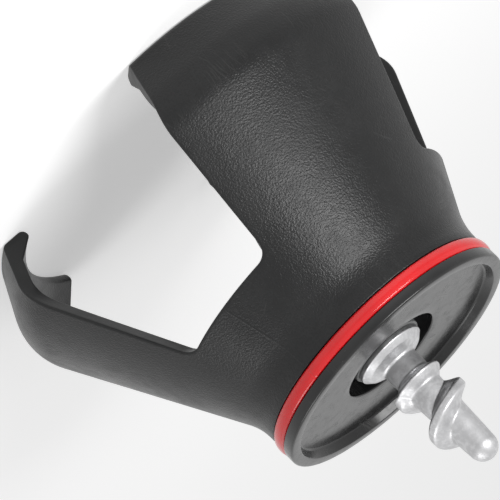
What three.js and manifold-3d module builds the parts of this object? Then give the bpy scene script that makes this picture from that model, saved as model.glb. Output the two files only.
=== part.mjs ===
import * as THREE from "three";
import { mergeVertices } from "three/addons/utils/BufferGeometryUtils.js";
import Module from "manifold-3d";

// A three-fingered pick-up claw that screws into the end of a club grip.
// It stands on its finger tips with the screw pointing up.
// Millimetres, +Z up along the screw. The origin is the middle of the flat head on the pocket's floor.

const wasm = await Module();
wasm.setup();

// Claw moulding: a cup with a conical flare that is split into fingers
const fingerCount = 3;
const frontAngle = -Math.PI / 2;
const pocketRadius = 21.35; // the sphere that the pocket holds
const poleGap = 0.35; // from that sphere to the head on the pocket's floor
const wall = 1.98; // of the cup and the flare
const tipWall = 1.42; // of the fingers below the bend
const wallSlack = 0.35; // between the sphere and the flare
const skirtRadius = 14.8; // the straight part at the claw's base
const skirtHeight = 2.54; // from the floor's top down to where the flare starts
const skirtFillet = 7; // where the skirt turns into the flare
const floorThickness = 2.1;
const floorFillet = 7; // where the floor turns into the flare
const tipHeight = 7.2; // from the bend, level with the pocket's centre, down to the ends
const tipLean = THREE.MathUtils.degToRad(25.9); // inward lean of the tips
const bendFillet = 5.6; // on the outside of the bend
const lipDepth = 0.96; // how far the tip's lip stands in from the wall
const lipLength = 1.05; // height of its inner face
const lipSlopeHeight = 1.85; // from that face up to where the lip has run out into the wall
const lipFillet = 0.6;

// Gaps between the fingers
const gapFloorDepth = 5.9; // from the pocket's floor to the bottom of a gap
const gapFloorHalfWidth = 7.15;
const gapSideAngle = THREE.MathUtils.degToRad(19.1); // of a gap's side against the axis
const gapFillet = 2; // in the corners at the bottom of a gap
const gapTipHalfWidth = 8.5; // of the same cut, level with the fingers' ends
const tipHalfWidth = 10.38; // of a finger's end, on its outer edge
const tipSideAngle = THREE.MathUtils.degToRad(20.2); // the narrowing from the bend to the end
const tipSideTurn = THREE.MathUtils.degToRad(10); // how far a tip's two sides turn towards each other inwards

// Flex line across each finger's root
const flexDepth = 8.6; // from the pocket's floor
const flexGap = 0.4;

// Cap that closes the base, with a shallow dish for the end of the grip
const capOverhang = 0.16; // how far its rim stands out from the skirt
const rimBand = 1.25; // height of the rim's outer wall
const rimWidth = 1.3;
const rimEdge = 0.25; // rounding of the rim's outer edge
const dishDepth = 1;
const dishDraft = 0.35; // how far the dish's wall leans in
const dishFillet = 0.3;
const dishHoleRadius = 5.87;
const capSpigotInset = 1.86; // from the rim's outside to the spigot's
const capSpigotWall = 1.5;
const capSpigotLength = 1.7;
const spigotSideClearance = 0.1;
const spigotEndClearance = 0.15;

// Accent ring in the groove under the cap's rim
const ringHeight = 1.55;
const ringInset = 0.01; // from the rim's outside to the ring's edges
const ringWidth = 1.35;
const ringCrown = 0.13; // bulge of its outer face
const ringEdge = 0.3;

// Stack along the screw
const seatGap = 0.05; // between pieces that press on each other
const headThickness = 0.9;
const headRadius = 4.7;
const headEdge = 0.35;
const washerThickness = 0.8;
const washerRadius = 7.3;
const washerEdge = 0.2;
const shankRadius = 2.9;
const shankClearance = 0.12;
const bushingWall = 0.95;
const bushingFlangeWidth = 0.33; // how far its flange stands out from its sleeve
const bushingFlangeThickness = 1.3;
const bushingClearance = 0.1;

// Screw above the bushing
const shoulderRadius = 4.05;
const shoulderBand = 0.5; // height of the shoulder's straight side
const shoulderCrownRadius = 3.4; // where its crown levels off
const shoulderStep = 0.6; // how high the crown rises above the band
const shoulderRise = 1.15; // how high the shoulder's top stands above its band
const neckRadius = 2.1;
const neckFillet = 0.45;
const collarRadius = 3.1;
const collarHeight = 4.55; // from the bushing's top to the collar's sharpest ring
const collarUnderside = 0.65; // height of the flank below that ring
const collarTopside = 1.1; // height of the flank above it
const coreRadius = 2.05; // of the threaded core at the collar
const coreTipRadius = 1.65; // of the core where its end starts to round off
const screwLength = 15.8; // from the bushing's top to the screw's end
const coreNose = 1.7; // height of the rounded end
const threadRadius = 3.42;
const threadPitch = 5.4;
const threadRoot = 2.6; // thickness at the core
// rows of the thread's section: share of its height, share of its thickness at the core
const threadShares = [[0, 1], [0.35, 0.75], [0.8, 0.4], [1, 0.2]];
const threadTurns = 1.42;
const threadStart = 0.246; // turns from the front to where the thread leaves the collar
const threadLeadIn = 0.12; // turns over which it rises out of the collar
const threadRunOut = 0.25; // turns over which it sinks into the core
const threadSink = 0.45; // how deep its root lies inside the core

// Roundness of the model
const bodySegments = 72;
const screwSegments = 36;
const arcTolerance = 0.02; // how far a facet may cut inside its arc
const threadSteps = 24; // per turn
const cutOverrun = 4; // how far cutters reach past what they cut

// Heights worked out from the stack, upwards from the pocket's floor
const washerBottom = headThickness + seatGap;
const floorBottom = washerBottom + washerThickness + seatGap;
const floorTop = floorBottom + floorThickness;
const bushingTop = floorTop + seatGap + bushingFlangeThickness;
const ringBottom = floorTop + seatGap;
const rimBottom = ringBottom + ringHeight + seatGap;
const rimTop = rimBottom + rimBand;
const pocketCentre = -(pocketRadius + poleGap);

// The flare runs from the skirt's end, at a tangent past the pocket, so its angle against the axis follows
const insideReach = pocketRadius + wallSlack;
const outsideReach = insideReach + wall;
const skirtEnd = floorTop - skirtHeight;
const skirtEndReach = Math.hypot(skirtRadius, skirtEnd - pocketCentre);
const flareAngle = Math.atan2(skirtEnd - pocketCentre, skirtRadius) - Math.acos(outsideReach / skirtEndReach);
const flareRadius = (reach, height) => (
  reach / Math.cos(flareAngle) + (pocketCentre - height) * Math.tan(flareAngle)
);

// Radii of the cap and the ring, worked out from the skirt
const capRadius = skirtRadius + capOverhang;
const ringRadius = capRadius - ringInset;
const ringGrooveRadius = ringRadius - ringWidth;
const capSpigotRadius = capRadius - capSpigotInset;

const rubber = new THREE.MeshStandardMaterial({ color: 0x2b2c2d, roughness: 0.62, metalness: 0 });
const hardPlastic = new THREE.MeshStandardMaterial({ color: 0x313332, roughness: 0.3, metalness: 0 });
const redPlastic = new THREE.MeshStandardMaterial({ color: 0xe01a1c, roughness: 0.25, metalness: 0 });
const castZinc = new THREE.MeshStandardMaterial({ color: 0xb9babb, roughness: 0.35, metalness: 1 });
const steel = new THREE.MeshStandardMaterial({ color: 0x9fa1a3, roughness: 0.3, metalness: 1 });

const model = new THREE.Group();

function addMesh(name, geometry, material) {
  const mesh = new THREE.Mesh(geometry, material);
  mesh.name = name;
  model.add(mesh);
  return mesh;
}

// The angle that one straight facet may span on an arc of this radius
function facetTurn(radius) {
  return 2 * Math.acos(1 - Math.min(arcTolerance / radius, 1));
}

// Points round a closed run of corners [x, y, fillet], with each fillet drawn as an arc
function roundedRun(corners) {
  const points = [];
  const towards = (corner, i) => {
    const [x, y] = corners[(i + corners.length) % corners.length];
    return new THREE.Vector2(x, y).sub(corner).normalize();
  };
  corners.forEach(([x, y, fillet = 0], i) => {
    const corner = new THREE.Vector2(x, y);
    if (fillet === 0) {
      points.push(corner);
      return;
    }
    const back = towards(corner, i - 1);
    const onward = towards(corner, i + 1);
    const halfAngle = Math.acos(THREE.MathUtils.clamp(back.dot(onward), -1, 1)) / 2;
    const reach = fillet / Math.tan(halfAngle);
    const inward = back.clone().add(onward).normalize();
    const centre = corner.clone().addScaledVector(inward, fillet / Math.sin(halfAngle));
    const from = corner.clone().addScaledVector(back, reach).sub(centre).angle();
    const to = corner.clone().addScaledVector(onward, reach).sub(centre).angle();
    const turn = THREE.MathUtils.euclideanModulo(to - from + Math.PI, 2 * Math.PI) - Math.PI;
    const steps = Math.max(2, Math.ceil(Math.abs(turn) / facetTurn(fillet)));
    for (let step = 0; step <= steps; step++) {
      const angle = from + (turn * step) / steps;
      const spoke = new THREE.Vector2(Math.cos(angle), Math.sin(angle));
      points.push(centre.clone().addScaledVector(spoke, fillet));
    }
  });
  return points;
}

// Turns a closed outline of [radius, height, fillet] corners about the Z axis
function revolve(corners, segments) {
  let outline = roundedRun(corners);
  if (THREE.ShapeUtils.area(outline) < 0) outline = outline.reverse();
  outline.push(outline[0].clone());
  return new THREE.LatheGeometry(outline, segments).rotateX(Math.PI / 2);
}

// Pushes an outline of [sideways, height, fillet] corners outwards from the axis, towards an angle
function radialPrism(corners, angle, length) {
  const shape = new THREE.Shape(roundedRun(corners));
  const prism = new THREE.ExtrudeGeometry(shape, { depth: length, bevelEnabled: false });
  // the outline's x goes sideways, its y upwards and its depth outwards
  return prism.rotateX(Math.PI / 2).rotateZ(angle + Math.PI / 2);
}

function toSolid(geometry) {
  const bare = geometry.clone();
  bare.deleteAttribute("normal");
  bare.deleteAttribute("uv");
  const merged = mergeVertices(bare);
  const vertProperties = merged.attributes.position.array;
  const triVerts = new Uint32Array(merged.index.array);
  return new wasm.Manifold(new wasm.Mesh({ numProp: 3, vertProperties, triVerts }));
}

function toGeometry(solid) {
  const { vertProperties, triVerts } = solid.getMesh();
  const geometry = new THREE.BufferGeometry();
  geometry.setAttribute("position", new THREE.BufferAttribute(vertProperties, 3));
  geometry.setIndex(new THREE.BufferAttribute(triVerts, 1));
  geometry.computeVertexNormals();
  return geometry;
}

// Claw

const boreRadius = shankRadius + shankClearance;
const bushingSleeveRadius = boreRadius + bushingWall;
const floorHoleRadius = bushingSleeveRadius + bushingClearance;
const grooveOuterRadius = capSpigotRadius + spigotSideClearance;
const grooveInnerRadius = capSpigotRadius - capSpigotWall - spigotSideClearance;
const grooveBottom = floorTop - capSpigotLength - spigotEndClearance;
const hubEnd = -flexDepth + flexGap / 2;
const fingerStart = -flexDepth - flexGap / 2;

// The floor stays flat under the washer, however large the fillet beside it
const floorCorner = flareRadius(insideReach, floorBottom);
const floorCornerAngle = Math.PI / 2 - flareAngle;
const largestFloorFillet = (floorCorner - washerRadius) / Math.tan(floorCornerAngle / 2);

function hubOutline() {
  return [
    [floorHoleRadius, floorBottom],
    [floorHoleRadius, floorTop],
    [grooveInnerRadius, floorTop],
    [grooveInnerRadius, grooveBottom],
    [grooveOuterRadius, grooveBottom],
    [grooveOuterRadius, floorTop],
    [skirtRadius, floorTop],
    [skirtRadius, skirtEnd, skirtFillet],
    [flareRadius(outsideReach, hubEnd), hubEnd],
    [flareRadius(insideReach, hubEnd), hubEnd],
    [floorCorner, floorBottom, Math.min(floorFillet, largestFloorFillet)],
  ];
}

const bendLevel = pocketCentre;
const bendRadius = flareRadius(outsideReach, bendLevel);
const tipEnd = bendLevel - tipHeight;

// Points on the tip's outer face, or a given thickness behind it
const tipRadius = (height, thickness) => (
  bendRadius - (bendLevel - height) * Math.tan(tipLean) - thickness / Math.cos(tipLean)
);

function fingerOutline() {
  const innerBend = bendLevel + (tipWall / Math.cos(tipLean) - wall / Math.cos(flareAngle))
    / (Math.tan(flareAngle) + Math.tan(tipLean));
  const innerBendRadius = flareRadius(insideReach, innerBend);
  const lipRadius = tipRadius(tipEnd, tipWall + lipDepth);
  const lipTop = tipEnd + lipLength;
  const lipFoot = lipTop + lipSlopeHeight;
  return [
    [flareRadius(outsideReach, fingerStart), fingerStart],
    [bendRadius, bendLevel, bendFillet],
    [tipRadius(tipEnd, 0), tipEnd, lipFillet],
    [lipRadius, tipEnd, lipFillet],
    [lipRadius, lipTop, lipFillet],
    [tipRadius(lipFoot, tipWall), lipFoot, lipFillet],
    [innerBendRadius, innerBend, bendFillet - wall],
    [flareRadius(insideReach, fingerStart), fingerStart],
  ];
}

const outermost = bendRadius + cutOverrun;
const gapBendHalfWidth = gapFloorHalfWidth + (-gapFloorDepth - bendLevel) * Math.tan(gapSideAngle);
const belowTips = tipEnd - cutOverrun;

// A gap widens from its floor to the bend, and narrows again towards the tips
function gapCutter(angle) {
  const corners = [
    [gapTipHalfWidth, belowTips],
    [gapTipHalfWidth, tipEnd],
    [gapBendHalfWidth, bendLevel],
    [gapFloorHalfWidth, -gapFloorDepth, gapFillet],
    [-gapFloorHalfWidth, -gapFloorDepth, gapFillet],
    [-gapBendHalfWidth, bendLevel],
    [-gapTipHalfWidth, tipEnd],
    [-gapTipHalfWidth, belowTips],
  ];
  return toSolid(radialPrism(corners, angle, outermost));
}

// What lies inside one of a finger's two sides below the bend: side is 1 or -1
function insideTipSide(angle, side) {
  const endRadius = tipRadius(tipEnd, 0);
  const endReach = endRadius * Math.sin(Math.asin(tipHalfWidth / endRadius) - tipSideTurn);
  const reachAt = (height) => endReach + (height - tipEnd) * Math.tan(tipSideAngle);
  const corners = [
    [side * reachAt(belowTips), belowTips],
    [side * reachAt(0), 0],
    [-side * outermost, 0],
    [-side * outermost, belowTips],
  ];
  return toSolid(radialPrism(corners, angle + side * tipSideTurn, outermost));
}

const turn = (2 * Math.PI) / fingerCount;
const fingerNames = ["finger_front", "finger_right", "finger_left"];
const gaps = fingerNames.map((_, i) => gapCutter(frontAngle + (i + 0.5) * turn));
const cutGaps = (solid) => gaps.reduce((left, gap) => left.subtract(gap), solid);

addMesh("claw_hub", toGeometry(cutGaps(toSolid(revolve(hubOutline(), bodySegments)))), rubber);

// A wedge around one finger, out to the middles of the gaps beside it
function fingerWedge(angle) {
  const side = outermost / Math.cos(turn / 2);
  const shape = new THREE.Shape([
    new THREE.Vector2(0, 0),
    new THREE.Vector2(side * Math.cos(angle - turn / 2), side * Math.sin(angle - turn / 2)),
    new THREE.Vector2(side * Math.cos(angle + turn / 2), side * Math.sin(angle + turn / 2)),
  ]);
  const wedge = new THREE.ExtrudeGeometry(shape, { depth: -belowTips, bevelEnabled: false });
  return toSolid(wedge.translate(0, 0, belowTips));
}

const fingerRing = cutGaps(toSolid(revolve(fingerOutline(), bodySegments)));
fingerNames.forEach((name, i) => {
  const angle = frontAngle + i * turn;
  const sides = insideTipSide(angle, 1).intersect(insideTipSide(angle, -1));
  const finger = fingerRing.intersect(fingerWedge(angle)).intersect(sides);
  addMesh(name, toGeometry(finger), rubber);
});

// Base cap, a dish with a spigot that plugs into the groove in the claw's floor

const dishFloor = rimTop - dishDepth;
const capUnderside = ringBottom;
const rimInnerRadius = capRadius - rimWidth;

addMesh(
  "base_cap",
  revolve([
    [dishHoleRadius, capUnderside],
    [dishHoleRadius, dishFloor],
    [rimInnerRadius - dishDraft, dishFloor, dishFillet],
    [rimInnerRadius, rimTop],
    [capRadius, rimTop, rimEdge],
    [capRadius, rimBottom],
    [ringGrooveRadius, rimBottom],
    [ringGrooveRadius, capUnderside],
    [capSpigotRadius, capUnderside],
    [capSpigotRadius, floorTop - capSpigotLength],
    [capSpigotRadius - capSpigotWall, floorTop - capSpigotLength],
    [capSpigotRadius - capSpigotWall, capUnderside],
  ], bodySegments),
  hardPlastic,
);

// Accent ring, with a crowned outer face

const ringTop = ringBottom + ringHeight;
const ringMiddle = (ringBottom + ringTop) / 2;

addMesh(
  "accent_ring",
  revolve([
    [ringGrooveRadius + seatGap, ringBottom],
    [ringGrooveRadius + seatGap, ringTop],
    [ringRadius, ringTop, ringEdge],
    [ringRadius + ringCrown, ringMiddle],
    [ringRadius, ringBottom, ringEdge],
  ], bodySegments),
  redPlastic,
);

// Flanged bushing that stiffens the hole in the claw's floor

const bushingFlangeRadius = bushingSleeveRadius + bushingFlangeWidth;

addMesh(
  "shank_bushing",
  revolve([
    [boreRadius, floorBottom],
    [boreRadius, bushingTop],
    [bushingFlangeRadius, bushingTop],
    [bushingFlangeRadius, floorTop + seatGap],
    [bushingSleeveRadius, floorTop + seatGap],
    [bushingSleeveRadius, floorBottom],
  ], screwSegments),
  hardPlastic,
);

addMesh(
  "pocket_washer",
  revolve([
    [boreRadius, washerBottom],
    [boreRadius, washerBottom + washerThickness],
    [washerRadius, washerBottom + washerThickness],
    [washerRadius, washerBottom, washerEdge],
    [boreRadius + washerEdge, washerBottom],
  ], screwSegments),
  steel,
);

// Grip screw: head, shank, shoulder, neck, collar and a coarse thread

const shoulderBottom = bushingTop + seatGap;
const bandTop = shoulderBottom + shoulderBand;
const shoulderTop = bandTop + shoulderRise;
const collarLevel = bushingTop + collarHeight;
const screwEnd = bushingTop + screwLength;
const noseStart = screwEnd - coreNose;

function screwOutline() {
  return [
    [0, 0],
    [headRadius, 0, headEdge],
    [headRadius, headThickness],
    [shankRadius, headThickness],
    [shankRadius, shoulderBottom],
    [shoulderRadius, shoulderBottom],
    [shoulderRadius, bandTop],
    [shoulderCrownRadius, bandTop + shoulderStep, neckFillet],
    [neckRadius, shoulderTop, neckFillet],
    [neckRadius, collarLevel - collarUnderside, neckFillet],
    [collarRadius, collarLevel],
    [coreRadius, collarLevel + collarTopside, neckFillet],
    [coreTipRadius, noseStart],
  ];
}

// The rounded end is a quarter of an ellipse
function noseOutline() {
  const steps = Math.ceil(Math.PI / 2 / facetTurn(coreTipRadius));
  return Array.from({ length: steps }, (_, i) => {
    const angle = ((i + 1) / steps) * (Math.PI / 2);
    return [coreTipRadius * Math.cos(angle), noseStart + coreNose * Math.sin(angle)];
  });
}

function coreRadiusAt(height) {
  const share = (height - collarLevel) / (noseStart - collarLevel);
  return THREE.MathUtils.lerp(coreRadius, coreTipRadius, THREE.MathUtils.clamp(share, 0, 1));
}

// A right-handed thread: a ring of points round its section at each step, joined by quads
function threadGeometry() {
  const steps = Math.round(threadTurns * threadSteps);
  const positions = [];
  const indices = [];
  let ring = 0;
  for (let step = 0; step <= steps; step++) {
    const turns = (threadTurns * step) / steps;
    const angle = frontAngle + 2 * Math.PI * (threadStart + turns);
    const middle = collarLevel + threadPitch * turns;
    const height = Math.min(1, turns / threadLeadIn, (threadTurns - turns) / threadRunOut);
    const core = coreRadiusAt(middle);
    const rise = Math.sin((height * Math.PI) / 2);
    const crest = core - threadSink + rise * (threadRadius - core + threadSink);
    const root = core - 2 * threadSink;
    const upper = threadShares.map(([heightShare, thicknessShare]) => (
      [THREE.MathUtils.lerp(root, crest, heightShare), (thicknessShare * threadRoot) / 2]
    ));
    const lower = upper.map(([radius, offset]) => [radius, -offset]);
    const section = [...upper, ...lower.reverse()];
    ring = section.length;
    section.forEach(([radius, offset]) => {
      positions.push(radius * Math.cos(angle), radius * Math.sin(angle), middle + offset);
    });
  }
  const point = (step, corner) => step * ring + (corner % ring);
  for (let step = 0; step < steps; step++) {
    for (let corner = 0; corner < ring; corner++) {
      const a = point(step, corner);
      const b = point(step, corner + 1);
      const c = point(step + 1, corner + 1);
      const d = point(step + 1, corner);
      indices.push(a, b, c, a, c, d);
    }
  }
  for (let corner = 1; corner < ring - 1; corner++) {
    indices.push(point(0, 0), point(0, corner + 1), point(0, corner));
    indices.push(point(steps, 0), point(steps, corner), point(steps, corner + 1));
  }
  const geometry = new THREE.BufferGeometry();
  geometry.setAttribute("position", new THREE.Float32BufferAttribute(positions, 3));
  geometry.setIndex(indices);
  return geometry;
}

const screwBody = toSolid(revolve([...screwOutline(), ...noseOutline()], screwSegments));
addMesh("grip_screw", toGeometry(screwBody.add(toSolid(threadGeometry()))), castZinc);

export default model;
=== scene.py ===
import math

import bpy
import numpy as np
from mathutils import Matrix, Vector, noise


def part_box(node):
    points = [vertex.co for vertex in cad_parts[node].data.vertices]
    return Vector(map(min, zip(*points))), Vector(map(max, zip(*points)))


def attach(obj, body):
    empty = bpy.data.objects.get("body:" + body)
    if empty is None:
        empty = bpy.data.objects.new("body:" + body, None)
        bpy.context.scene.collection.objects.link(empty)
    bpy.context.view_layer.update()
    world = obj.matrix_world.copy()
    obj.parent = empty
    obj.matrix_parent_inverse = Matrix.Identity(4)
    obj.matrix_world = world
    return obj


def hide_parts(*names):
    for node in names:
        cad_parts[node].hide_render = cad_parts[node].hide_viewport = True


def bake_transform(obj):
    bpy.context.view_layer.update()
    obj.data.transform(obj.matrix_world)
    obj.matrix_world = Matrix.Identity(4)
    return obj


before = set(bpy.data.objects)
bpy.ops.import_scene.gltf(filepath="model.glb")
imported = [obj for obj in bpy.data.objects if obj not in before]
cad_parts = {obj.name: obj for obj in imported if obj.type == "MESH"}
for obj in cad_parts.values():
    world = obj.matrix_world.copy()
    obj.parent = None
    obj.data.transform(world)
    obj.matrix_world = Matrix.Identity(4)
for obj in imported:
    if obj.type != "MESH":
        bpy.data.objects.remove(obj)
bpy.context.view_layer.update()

# A three-fingered rubber claw on a coarse screw, standing on its finger tips.
# Metres. The origin is the middle of the screw's head on the pocket's floor, and +Z runs up along the screw.

mm = 0.001
degree = math.pi / 180
fullTurn = 2 * math.pi
thirdHalf = math.pi / 3  # from the middle of a finger to the middle of the gap beside it
tiny = 1e-9  # nearer than this is on the axis, or on the mirror plane


# Camera

cameraView = {
    "azimuth": -58.1 * degree,  # it stands between the front and the right finger
    "elevation": 17.017 * degree,
    "roll": 134.805 * degree,  # so that the screw points to the lower right
    "distance": 521.79 * mm,
    "aim": Vector((2.169, 1.35, -13.059)) * mm,
    "lens": 360,
    "sensor": 36,
    "clipRatio": 20,  # of the distance, nearer and farther
}


def placeCamera(view):
    flat = math.cos(view["elevation"])
    outward = Vector((
        flat * math.cos(view["azimuth"]),
        flat * math.sin(view["azimuth"]),
        math.sin(view["elevation"]),
    ))
    data = bpy.data.cameras.new("studioCamera")
    data.lens = view["lens"]
    data.sensor_width = view["sensor"]
    data.clip_start = view["distance"] / view["clipRatio"]
    data.clip_end = view["distance"] * view["clipRatio"]
    item = bpy.data.objects.new("studioCamera", data)
    bpy.context.scene.collection.objects.link(item)
    turn = outward.to_track_quat("Z", "Y").to_matrix().to_4x4()
    roll = Matrix.Rotation(view["roll"], 4, "Z")
    item.matrix_world = Matrix.Translation(view["aim"] + outward * view["distance"]) @ turn @ roll
    bpy.context.scene.camera = item


placeCamera(cameraView)
print("camera placed")


# Outlines, meshes and turned pieces

meshing = {
    "arcStep": 0.12 * mm,  # along a fillet
    "sharpAngle": 38 * degree,  # edges above it stay crisp
    "turnedSegments": 256,
    "edgeGrading": (0, 0.25, 0.5, 0.75, 1, 1.5, 2.3, 3.6),  # rows beside a round edge, in its radii
}


# Corners are (radius, height) or (radius, height, fillet). A closed outline rounds its first corner too.
def roundOutline(corners, step=meshing["arcStep"]):
    fewestSteps = 4
    points = []
    for i, corner in enumerate(corners):
        here = np.array(corner[:2], float)
        fillet = corner[2] if len(corner) > 2 else 0
        if fillet == 0:
            points.append(here)
            continue
        back = np.array(corners[i - 1][:2], float) - here
        onward = np.array(corners[(i + 1) % len(corners)][:2], float) - here
        back /= np.linalg.norm(back)
        onward /= np.linalg.norm(onward)
        half = math.acos(max(-1, min(1, float(back @ onward)))) / 2
        centre = here + (back + onward) / np.linalg.norm(back + onward) * fillet / math.sin(half)
        fromCentre = here + back * fillet / math.tan(half) - centre
        toCentre = here + onward * fillet / math.tan(half) - centre
        start = math.atan2(fromCentre[1], fromCentre[0])
        sweep = (math.atan2(toCentre[1], toCentre[0]) - start + math.pi) % fullTurn - math.pi
        count = max(fewestSteps, math.ceil(abs(sweep) * fillet / step))
        for k in range(count + 1):
            angle = start + sweep * k / count
            points.append(centre + fillet * np.array([math.cos(angle), math.sin(angle)]))
    return np.array(points)


# Divides every stretch that is longer than the step
def divide(points, step):
    slack = 0.01  # of a step
    out = [points[0]]
    for a, b in zip(points[:-1], points[1:]):
        count = max(1, math.ceil(np.linalg.norm(b - a) / step - slack))
        out += [a + (b - a) * k / count for k in range(1, count + 1)]
    return np.array(out)


def lengthAlong(points):
    return np.concatenate([[0], np.cumsum(np.linalg.norm(np.diff(points, axis=0), axis=1))])


def pointsAt(points, distances):
    along = lengthAlong(points)
    return np.stack([np.interp(distances, along, points[:, k]) for k in range(points.shape[1])], axis=1)


def meshVolume(points, faces):
    triangles = np.array([(f[0], b, c) for f in faces for b, c in zip(f[1:-1], f[2:])])
    a, b, c = (points[triangles[:, k]] for k in range(3))
    return float(np.sum(a * np.cross(b, c))) / 6


def makePiece(name, points, faces):
    points = np.asarray(points, float)
    if meshVolume(points, faces) < 0:
        faces = [tuple(reversed(face)) for face in faces]
    mesh = bpy.data.meshes.new(name)
    mesh.from_pydata([tuple(p) for p in points], [], faces)
    mesh.polygons.foreach_set("use_smooth", [True] * len(mesh.polygons))
    mesh.update()
    mesh.set_sharp_from_angle(angle=meshing["sharpAngle"])
    piece = bpy.data.objects.new(name, mesh)
    bpy.context.scene.collection.objects.link(piece)
    return piece


# Turns an outline about the axis. It is closed off the axis, or starts and ends on it.
# shape(radius, height, angle) may move each point in or out.
def turnedPiece(name, outline, segments=meshing["turnedSegments"], shape=None):
    onAxis = outline[0][0] < tiny
    points, rings = [], []
    for radius, height in outline:
        if radius < tiny:
            rings.append([len(points)])
            points.append((0, 0, height))
            continue
        rings.append(list(range(len(points), len(points) + segments)))
        for k in range(segments):
            angle = fullTurn * k / segments
            r = shape(radius, height, angle) if shape else radius
            points.append((r * math.cos(angle), r * math.sin(angle), height))
    faces = []
    pairs = list(zip(rings[:-1], rings[1:])) + ([] if onAxis else [(rings[-1], rings[0])])
    for lower, upper in pairs:
        for k in range(segments):
            n = (k + 1) % segments
            if len(lower) == 1:
                faces.append((lower[0], upper[n], upper[k]))
            elif len(upper) == 1:
                faces.append((lower[k], lower[n], upper[0]))
            else:
                faces.append((lower[k], lower[n], upper[n], upper[k]))
    return makePiece(name, points, faces)


# Claw

claw = {
    "pocketRadius": 21.35 * mm,
    "poleGap": 0.35 * mm,
    "wallSlack": 0.35 * mm,
    "wall": 1.98 * mm,
    "tipWall": 1.42 * mm,
    "skirtRadius": 14.8 * mm,
    "skirtHeight": 2.54 * mm,
    "skirtFillet": 7 * mm,
    "floorFillet": 7 * mm,
    "floorHole": 4.07 * mm,
    "grooveOuter": 13.2 * mm,
    "grooveInner": 11.5 * mm,
    "grooveDepth": 1.85 * mm,
    "grooveMargin": 1 * mm,  # the wall between the groove and the outside is thicker than this
    "topEdge": 0.2 * mm,
    "tipLean": 25.9 * degree,
    "bendFillet": 5.6 * mm,
    "lipDepth": 0.96 * mm,
    "lipLength": 1.05 * mm,
    "lipSlopeHeight": 1.85 * mm,
    "lipFillet": 0.6 * mm,
    "endFillet": 0.8 * mm,  # on the outside of a finger's end
    "gapFloor": -5.9 * mm,
    "gapFloorHalfWidth": 7.15 * mm,
    "gapSideAngle": 19.1 * degree,
    "gapFillet": 2 * mm,
    "tipHalfWidth": 10.38 * mm,
    "tipSideAngle": 20.2 * degree,
    "tipSideTurn": 10 * degree,
    "sideTurnLevel": -22.35 * mm,  # where the gap's side has half turned into the tip's
    "sideTurnLength": 0.75 * mm,
    "edgeRound": 0.2 * mm,
    "flexStart": -6.8 * mm,  # the real rubber bends between these heights; nothing in this script reads them or bends it
    "flexEnd": -10.8 * mm,
    "gridStep": 0.5 * mm,
    "hubStep": 0.65 * mm,
    "hubArcStep": 0.4 * mm,
    "filletSteps": 9,
    "tipSteps": 48,
    "tipZoneRise": 0.9 * mm,  # above the lip's foot, where the rows begin to follow the tip's outline
    "partingRise": 0.035 * mm,  # of the mould's line in the middle of each gap
    "partingWidth": 0.14 * mm,
    "partingMargin": 0.3 * mm,
    # These shares also scale the painted shade in the grain's valleys.
    "grainShares": {"outer": 1, "base": 0.3, "inner": 0.6, "side": 0.3},  # how deep the moulded grain is
}
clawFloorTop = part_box("claw_hub")[1].z
clawFloorBottom = 1.8 * mm
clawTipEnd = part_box("finger_front")[0].z
pocketCentre = -(claw["pocketRadius"] + claw["poleGap"])
insideReach = claw["pocketRadius"] + claw["wallSlack"]
outsideReach = insideReach + claw["wall"]
skirtEnd = clawFloorTop - claw["skirtHeight"]
flareAngle = math.atan2(skirtEnd - pocketCentre, claw["skirtRadius"]) - math.acos(
    outsideReach / math.hypot(claw["skirtRadius"], skirtEnd - pocketCentre))


def flareRadius(reach, height):
    return reach / math.cos(flareAngle) + (pocketCentre - height) * math.tan(flareAngle)


bendRadius = flareRadius(outsideReach, pocketCentre)


# Radius of the tip's outer face at a height, or of a face that lies a given thickness behind it
def tipRadius(height, thickness):
    lean = claw["tipLean"]
    return bendRadius - (pocketCentre - height) * math.tan(lean) - thickness / math.cos(lean)


# Half width of the gap at a height, and the outward normal of its side as (away from the gap's middle, up)
def gapWall(height):
    c = claw
    tangent = c["gapFillet"] * math.tan((math.pi / 2 - c["gapSideAngle"]) / 2)
    arcStart = c["gapFloorHalfWidth"] - tangent
    rise = (height - c["gapFloor"] + c["gapFillet"]) / c["gapFillet"]
    turn = math.acos(max(-1, min(1, rise)))
    if turn <= math.pi / 2 - c["gapSideAngle"]:
        return arcStart + c["gapFillet"] * math.sin(turn), (-math.sin(turn), -math.cos(turn))
    slope = math.tan(c["gapSideAngle"])
    return c["gapFloorHalfWidth"] + (c["gapFloor"] - height) * slope, (-1, -slope)


# How far the side has turned from the gap's plane (0) into the tip's (1)
def tipShareAt(height):
    return 1 / (1 + math.exp((height - claw["sideTurnLevel"]) / claw["sideTurnLength"]))


# Half angle of a finger at a point of its outline
def sideAngle(radius, height):
    c = claw
    gap = thirdHalf - math.asin(min(1, gapWall(height)[0] / radius))
    endRadius = tipRadius(clawTipEnd, 0)
    endReach = endRadius * math.sin(math.asin(c["tipHalfWidth"] / endRadius) - c["tipSideTurn"])
    reach = endReach + (height - clawTipEnd) * math.tan(c["tipSideAngle"])
    tip = math.asin(min(1, reach / radius)) + c["tipSideTurn"]
    share = tipShareAt(height)
    return gap * (1 - share) + tip * share


# The same, with the outward normal of the side there
def fingerSide(radius, height):
    angle = sideAngle(radius, height)
    if tipShareAt(height) < 1e-3:
        away, up = gapWall(height)[1]
        side = Vector((away * math.sin(thirdHalf), -away * math.cos(thirdHalf), up))
        return angle, side.normalized()
    step = 0.01 * mm  # for the slopes
    byRadius = (sideAngle(radius + step, height) - sideAngle(radius - step, height)) / (2 * step)
    byHeight = (sideAngle(radius, height + step) - sideAngle(radius, height - step)) / (2 * step)
    radial = Vector((math.cos(angle), math.sin(angle), 0))
    around = Vector((-math.sin(angle), math.cos(angle), 0))
    side = around / radius - radial * byRadius - Vector((0, 0, byHeight))
    return angle, side.normalized()


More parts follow.
